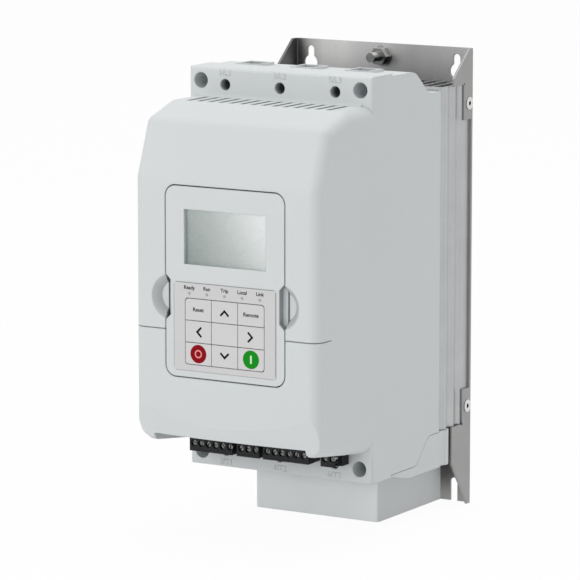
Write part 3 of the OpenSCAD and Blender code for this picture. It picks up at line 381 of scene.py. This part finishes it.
def cover_joint(signal):
    """The upright joint between housing and cover on the hood's sides."""
    joint_y, joint_half, flank_x = -171.6 * MM, 3 * MM, 62.5 * MM
    x, y = place_of(signal)[:2]
    return (absolute(y - joint_y) < joint_half) * (absolute(x) > flank_x)


# Painted shade: the housing's colour darkens in its holes, vents, keypad bay and finger scoops, with a
# painted rim round each vent.
housing_plastic = moulded("housing_plastic", light_grey, edge=1.1 * MM, painted_shade=housing_shade,
                          joint=cover_joint)
dress("main_housing", housing_plastic)
dress("lower_cover", housing_plastic)


# Terminal markings: characters raised in the mould over the upper access holes and under the lower ones.
# They have the housing's own plastic and finish.
def lettering(name, words, size, place, height, finish, body, weight=0.0):
    """Words that face the front, centred on a place and standing up by a height.

    weight thickens their strokes.
    """
    curve = bpy.data.curves.new(name, "FONT")
    curve.body = words
    curve.size = size
    curve.extrude = height
    curve.offset = weight
    curve.align_x = "CENTER"
    curve.align_y = "CENTER"
    curve.materials.append(finish)
    made = bpy.data.objects.new(name, curve)
    bpy.context.scene.collection.objects.link(made)
    made.location = place
    made.rotation_euler = (math.pi / 2, 0, 0)
    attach(made, body)


plain_plastic = moulded("plain_plastic", light_grey, edge=0.8 * MM)
mark_size, mark_height = 5.2 * MM, 0.15 * MM
for row, level, marks in (
    ("line", 132.3 * MM, ("1/L1", "3/L2", "5/L3")),
    ("load", -104.8 * MM, ("2/T1", "4/T2", "6/T3")),
):
    for column, words in enumerate(marks):
        place = ((column - 1) * phase_pitch, ledge_face, level)
        lettering(f"mark_{row}_{column + 1}", words, mark_size, place, mark_height, plain_plastic,
                  "unit")


# Control terminals: black plug-in blocks moulded in a hard plastic, with plated slotted screws sunk
# in their fronts. They are pushed onto pin headers of the control board.
black_plastic = moulded("black_plastic", linear(34, 36, 38), edge=0.3 * MM, shine=0.2)
for block in ("terminal_plugs", "terminal_headers"):
    dress(block, black_plastic)
# The terminal screws carry the bright steel's painted reflection.
dress("terminal_screws", bright_steel)


# Cable clamps: bent steel cages on the ends of the busbars.
# Their zinc-plated screws are reached through the round holes in the ledges.
clamp_tones = linear(95, 96, 97), linear(150, 150, 150)
dark_steel = sheet_metal("dark_steel", clamp_tones, streaks=(300, 300, 300), roughness=0.4, edge=0.3 * MM)
for clamp in ("line_clamps", "load_clamps"):
    dress(clamp, dark_steel)
dress("clamp_screws", zinc_screw)


# Power parts and boards inside: copper bars screwed to moulded thyristor blocks, ring sensors and relays.
# Lacquered fibreglass boards stand on turned brass posts, with a taped transformer and sleeved capacitors.
copper_tones = linear(170, 105, 75), linear(205, 140, 105)
copper = sheet_metal("copper_bar", copper_tones, streaks=(600, 600, 40), roughness=0.35, edge=0.3 * MM)
brass_tones = linear(175, 150, 95), linear(215, 190, 130)
brass = sheet_metal("turned_brass", brass_tones, streaks=(900, 30, 900), roughness=0.32, edge=0.2 * MM)
board_green = moulded("board_lacquer", linear(28, 92, 58), edge=0.2 * MM, gloss=0.35)
taped_yellow = moulded("taped_winding", linear(190, 160, 70), edge=0.6 * MM, depth=0.03 * MM, gloss=0.4)
sleeve_blue = moulded("shrink_sleeve", linear(40, 50, 105), edge=0.6 * MM, gloss=0.25)
dark_grey = moulded("dark_grey_plastic", linear(66, 68, 70), edge=0.5 * MM)
for phase in (1, 2, 3):
    dress(f"line_busbar_{phase}", copper)
    dress(f"load_busbar_{phase}", copper)
    dress(f"thyristor_module_{phase}", black_plastic)
for finish, names in (
    (zinc_screw, ("module_screws", "busbar_screws", "board_screws")),
    (brass, ("board_posts", "control_posts")),
    (board_green, ("power_board", "control_board", "hmi_board")),
    (black_plastic, ("bypass_relays", "hmi_plug", "hmi_socket")),
    (dark_grey, ("current_transformers", "hmi_back")),
    (taped_yellow, ("supply_transformer",)),
    (sleeve_blue, ("capacitors",)),
):
    for name in names:
        dress(name, finish)


# Air duct and fan box: grey mouldings fixed one under the other below the heat sink.
# The box holds a small axial fan in black plastic behind a guard of plated steel wire.
def flank_shade(signal):
    """Painted shade: the box's flanks are coloured a little darker than its front and underside."""
    side_facing, painted_flank_shade = 0.7, 0.22
    return 1.0 - (absolute(facing(signal)[0]) > side_facing) * painted_flank_shade


dress("air_duct", plain_plastic)
# Painted light: the fan box is a lighter grey than the housing, for light on its front, with painted shade on
# its flanks.
dress("fan_box", moulded("box_plastic", linear(235, 238, 239), edge=0.8 * MM, painted_shade=flank_shade))
for name in ("fan_frame", "fan_rotor"):
    dress(name, black_plastic)
for name in ("fan_guard", "fan_screws"):
    dress(name, zinc_screw)


# Keypad: a moulded bezel that plugs into its bay, with a clear window over an unlit display.
# Below the window a printed polyester film is stuck on. Status lights and keys on a rubber mat
# show in its cut-outs.
def side_shade(signal):
    """Painted shade: the bezel's outer sides are darkened as the shade of the bay."""
    frame_w, frame_h, lip = 8 * MM, 4 * MM, 0.6 * MM
    front_facing, painted_side_shade = -0.9, 0.5
    x, y, z = place_of(signal)
    window = (absolute(x) < bezel_high.x - frame_w) * (absolute(z - bezel_mid) < bezel_half - frame_h)
    side = (y > bezel_low.y + lip) * (facing(signal)[1] > front_facing)
    return 1.0 - side * (1.0 - window) * painted_side_shade


def covered(made, mixed):
    """Puts a mixed shader in place of the material's plain one."""
    tree = made.node_tree
    tree.links.new(mixed.socket, tree.nodes["Material Output"].inputs["Surface"])


def display_glass():
    """Clear window: mostly see-through, with a gloss that grows at a glancing view."""
    gloss_share = 0.3
    made, signal, shader = finish_of("display_window")
    feed(shader, Base_Color=linear(235, 240, 238), Roughness=0.06)
    gloss = signal.node("ShaderNodeFresnel", {}, {"IOR": 1.45}) * gloss_share
    clear = signal.node("ShaderNodeBsdfTransparent", {}, {})
    surface = Signal(signal.tree, shader.outputs[0])
    covered(made, signal.node("ShaderNodeMixShader", {}, {0: gloss, 1: clear, 2: surface}))
    return made


def display_face():
    """Unlit display: grey-green, with a painted reflection paler towards its upper right corner, faintly
    clouded.
    """
    across_share, upward_share, cloud_share, cloud_gloss, start = 0.72, 0.26, 0.015, 0.05, 0.0275
    made, signal, shader = finish_of("unlit_display")
    low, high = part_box("lcd_lens")
    x, _, z = place_of(signal)
    across = (x - low.x) * (1 / (high.x - low.x))
    upward = (z - low.z) * (1 / (high.z - low.z))
    cloud = grain(signal, (120, 120, 120))
    shade = across * across_share + upward * upward_share + cloud * cloud_share - start
    tone = ramp(signal, shade, ((0.0, linear(146, 160, 155)), (0.45, linear(193, 200, 197)),
                                (0.8, linear(234, 238, 237)), (1.0, linear(252, 254, 253))))
    feed(shader, Base_Color=tone, Roughness=0.25 + cloud * cloud_gloss)
    return made


def film_of(name, colour, gloss=0.42):
    """Smooth printed film, or a clear piece in it."""
    return moulded(name, colour, edge=0.2 * MM, depth=0.004 * MM, gloss=gloss)


# Painted shade: the bezel's outer sides are darkened.
dress("hmi_bezel", moulded("bezel_plastic", light_grey, edge=0.8 * MM, painted_shade=side_shade))
dress("lcd_lens", display_glass())
# Painted reflection: the display pales towards its upper right corner.
dress("lcd_module", display_face())
dress("key_mat", dark_grey)
dress("keypad_overlay", film_of("printed_film", linear(214, 213, 214)))
dress("led_lenses", film_of("clouded_lens", linear(186, 187, 186), gloss=0.3))
key_film = film_of("key_film", linear(217, 216, 216))
for name in ("blank", "reset", "up", "remote", "left", "right", "stop", "down", "start"):
    dress(f"key_{name}", key_film)


# Printing on the film: black words and arrows, a red and a green disc with pale signs, a fine border
# and the status windows. It is screen-printed in thin layers of ink.
# Each mark on a key rides on that key, and the rest rides on the keypad.
def ink_of(name, colour, gloss=0.4, shine=0.4):
    return moulded(name, colour, edge=0.05 * MM, depth=0.002 * MM, gloss=gloss, shine=shine)


ink_layer = 0.04 * MM
ink_black = ink_of("black_ink", linear(26, 26, 28), gloss=0.5, shine=0.05)
ink_red = ink_of("red_ink", linear(146, 10, 26), shine=0.05)
ink_green = ink_of("green_ink", linear(24, 146, 30), shine=0.05)
ink_pink = ink_of("pink_ink", linear(240, 150, 140))
ink_pale = ink_of("pale_ink", linear(205, 245, 205))
ink_line = ink_of("line_ink", linear(118, 119, 121), gloss=0.5)
ink_faint = ink_of("faint_ink", linear(172, 173, 174), gloss=0.5)


def printed(name, outlines, place, finish, body):
    """Flat printed mark on the front: closed outlines in [x, z] about a place, one ink layer thick."""
    mesh = bpy.data.meshes.new(name)
    shape = bmesh.new()
    for outline in outlines:
        front = [shape.verts.new((x, -ink_layer, z)) for x, z in outline]
        back = [shape.verts.new((x, 0, z)) for x, z in outline]
        shape.faces.new(front)
        shape.faces.new(back[::-1])
        for k in range(len(outline)):
            shape.faces.new((front[k - 1], back[k - 1], back[k], front[k]))
    bmesh.ops.recalc_face_normals(shape, faces=shape.faces)
    shape.to_mesh(mesh)
    shape.free()
    mesh.materials.append(finish)
    made = bpy.data.objects.new(name, mesh)
    bpy.context.scene.collection.objects.link(made)
    made.location = place
    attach(made, body)


def arc_point(radius, share):
    """A point on a circle, a share of a full turn clockwise from its top."""
    return (radius * math.sin(2 * math.pi * share), radius * math.cos(2 * math.pi * share))


def disc(radius, steps=64):
    return [[arc_point(radius, k / steps) for k in range(steps)]]


def ring(radius, width, steps=48):
    """Outlines of a ring, one four-sided outline for each step round it."""
    inner = radius - width
    corners = ((radius, 0), (radius, 1), (inner, 1), (inner, 0))
    return [[arc_point(r, (k + ahead) / steps) for r, ahead in corners] for k in range(steps)]


def bar(radius, rise, steps=8):
    """Outline of an upright bar with round ends."""
    turns = [math.pi * k / steps for k in range(2 * steps + 1)]
    return [[(radius * math.cos(t), radius * math.sin(t) + (rise if t <= math.pi else -rise)) for t in turns]]


def strip(half_w, half_h):
    return [[(-half_w, -half_h), (half_w, -half_h), (half_w, half_h), (-half_w, half_h)]]


def arrow(turn):
    """Outline of an open arrow that points up, turned by quarter turns."""
    half, rise, slant = 3.3 * MM, 3.3 * MM, 0.875 * MM
    points = [(-half, -rise / 2), (0, rise / 2), (half, -rise / 2), (half - slant, -rise / 2 - slant),
              (0, rise / 2 - 2 * slant), (slant - half, -rise / 2 - slant)]
    c, s = math.cos(turn * math.pi / 2), math.sin(turn * math.pi / 2)
    return [[(x * c - z * s, x * s + z * c) for x, z in points]]


def key_face(name):
    """The middle of a key's front."""
    low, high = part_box(f"key_{name}")
    return Vector(((low.x + high.x) / 2, low.y, (low.z + high.z) / 2))


for turn, name in enumerate(("up", "left", "down", "right")):
    printed(f"arrow_{name}", arrow(turn), key_face(name), ink_black, f"key_{name}")
key_word_size, stroke_weight = 3.3 * MM, 0.07 * MM
for name, words in (("reset", "Reset"), ("remote", "Remote")):
    lettering(f"word_{name}", words, key_word_size, key_face(name), ink_layer, ink_black,
              f"key_{name}", stroke_weight)

disc_r = 5.5 * MM
off_r, off_w = 2.5 * MM, 0.85 * MM
on_r, on_rise = 0.62 * MM, 1.95 * MM
on_disc = Vector((0, -ink_layer, 0))
for name, finish in (("stop", ink_red), ("start", ink_green)):
    printed(f"disc_{name}", disc(disc_r), key_face(name), finish, f"key_{name}")
printed("sign_off", ring(off_r, off_w), key_face("stop") + on_disc, ink_pink, "key_stop")
printed("sign_on", bar(on_r, on_rise), key_face("start") + on_disc, ink_pale, "key_start")

film_low, film_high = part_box("keypad_overlay")
film_mid = Vector(((film_low.x + film_high.x) / 2, film_low.y, (film_low.z + film_high.z) / 2))
film_half_w = (film_high.x - film_low.x) / 2
film_half_h = (film_high.z - film_low.z) / 2
hair, corner = 0.17 * MM, 1.5 * MM
level_line = strip(film_half_w - corner, hair)
upright_line = strip(hair, film_half_h - corner)
for edge, line, finish, x, z in (
    ("top", level_line, ink_line, 0, film_half_h - hair),
    ("bottom", level_line, ink_faint, 0, hair - film_half_h),
    ("left", upright_line, ink_faint, hair - film_half_w, 0),
    ("right", upright_line, ink_line, film_half_w - hair, 0),
):
    printed(f"film_line_{edge}", line, film_mid + Vector((x, 0, z)), finish, "keypad")

led_low, led_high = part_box("led_lenses")
led_dia = led_high.z - led_low.z
led_pitch = (led_high.x - led_low.x - led_dia) / 4
led_level = (led_low.z + led_high.z) / 2
window_r, status_size, status_level = 0.85 * MM, 3.1 * MM, 12.2 * MM
for column, words in enumerate(("Ready", "Run", "Trip", "Local", "Link")):
    x = (column - 2) * led_pitch
    printed(f"window_{words.lower()}", disc(window_r), (x, film_low.y, led_level), ink_faint, "keypad")
    lettering(f"word_{words.lower()}", words, status_size, (x, film_low.y, status_level), ink_layer,
              ink_black, "keypad", stroke_weight)


# Studio: a pale matt floor, a white surround and two soft lamps, one from the front and one from above.
# The camera stands at the photograph's place, to the right of the front and a little above.
def seen_rays(signal):
    """1 for rays from the camera, off gloss and through glass, which see a white room; 0 for the others."""
    camera_ray, glossy, through = [signal.node("ShaderNodeLightPath", {}, {}, output=f"Is {kind} Ray")
                                   for kind in ("Camera", "Glossy", "Transmission")]
    clamped = {"operation": "ADD", "use_clamp": True}
    return signal.node("ShaderNodeMath", clamped, {0: camera_ray + glossy, 1: through})


def floor_finish():
    """Matt and pale, shown almost as white as the surround, so that only a faint shadow stays."""
    white_share = 0.96
    made, signal, shader = finish_of("pale_floor")
    feed(shader, Base_Color=linear(245, 245, 245), Roughness=0.8)
    glow = signal.node("ShaderNodeEmission", {}, {})
    surface = Signal(signal.tree, shader.outputs[0])
    sockets = {0: seen_rays(signal) * white_share, 1: surface, 2: glow}
    covered(made, signal.node("ShaderNodeMixShader", {}, sockets))
    return made


floor_reach, floor_gap = 4.0, 0.5 * MM
floor_mesh = bpy.data.meshes.new("floor")
shape = bmesh.new()
bmesh.ops.create_grid(shape, x_segments=1, y_segments=1, size=floor_reach)
shape.to_mesh(floor_mesh)
shape.free()
floor_mesh.materials.append(floor_finish())
floor = bpy.data.objects.new("floor", floor_mesh)
floor.location = (0, 0, cad_box[0].z - floor_gap)
bpy.context.scene.collection.objects.link(floor)

ambient = 0.56
world = bpy.data.worlds.new("studio")
bpy.context.scene.world = world
world.use_nodes = True
strength = ambient + seen_rays(Signal(world.node_tree)) * (1.0 - ambient)
feed(world.node_tree.nodes["Background"], Color=(1.0, 1.0, 1.0, 1.0), Strength=strength)


def softbox(name, place, size, power):
    """A square lamp that faces the middle of the object."""
    object_middle = Vector((0, -0.1, 0))
    lamp = bpy.data.lights.new(name, "AREA")
    lamp.shape = "SQUARE"
    lamp.size = size
    lamp.energy = power
    made = bpy.data.objects.new(name, lamp)
    made.location = place
    made.rotation_mode = "QUATERNION"
    made.rotation_quaternion = (object_middle - Vector(place)).to_track_quat("-Z", "Y")
    bpy.context.scene.collection.objects.link(made)


softbox("key_light", place=(-0.75, -2.0, 0.25), size=1.4, power=12.4)
softbox("top_light", place=(0.1, 0.1, 2.0), size=1.6, power=16.5)

view_axis = Vector((0.5089, -0.8456, 0.1613))
camera = bpy.data.cameras.new("camera")
camera.sensor_width = 36
camera.lens = 244.48
camera_object = bpy.data.objects.new("camera", camera)
camera_object.location = (1.2041, -2.1140, 0.3841)
camera_object.rotation_mode = "QUATERNION"
camera_object.rotation_quaternion = (-view_axis).to_track_quat("-Z", "Y")
bpy.context.scene.collection.objects.link(camera_object)
bpy.context.scene.camera = camera_object
bpy.context.scene.view_settings.view_transform = "Standard"
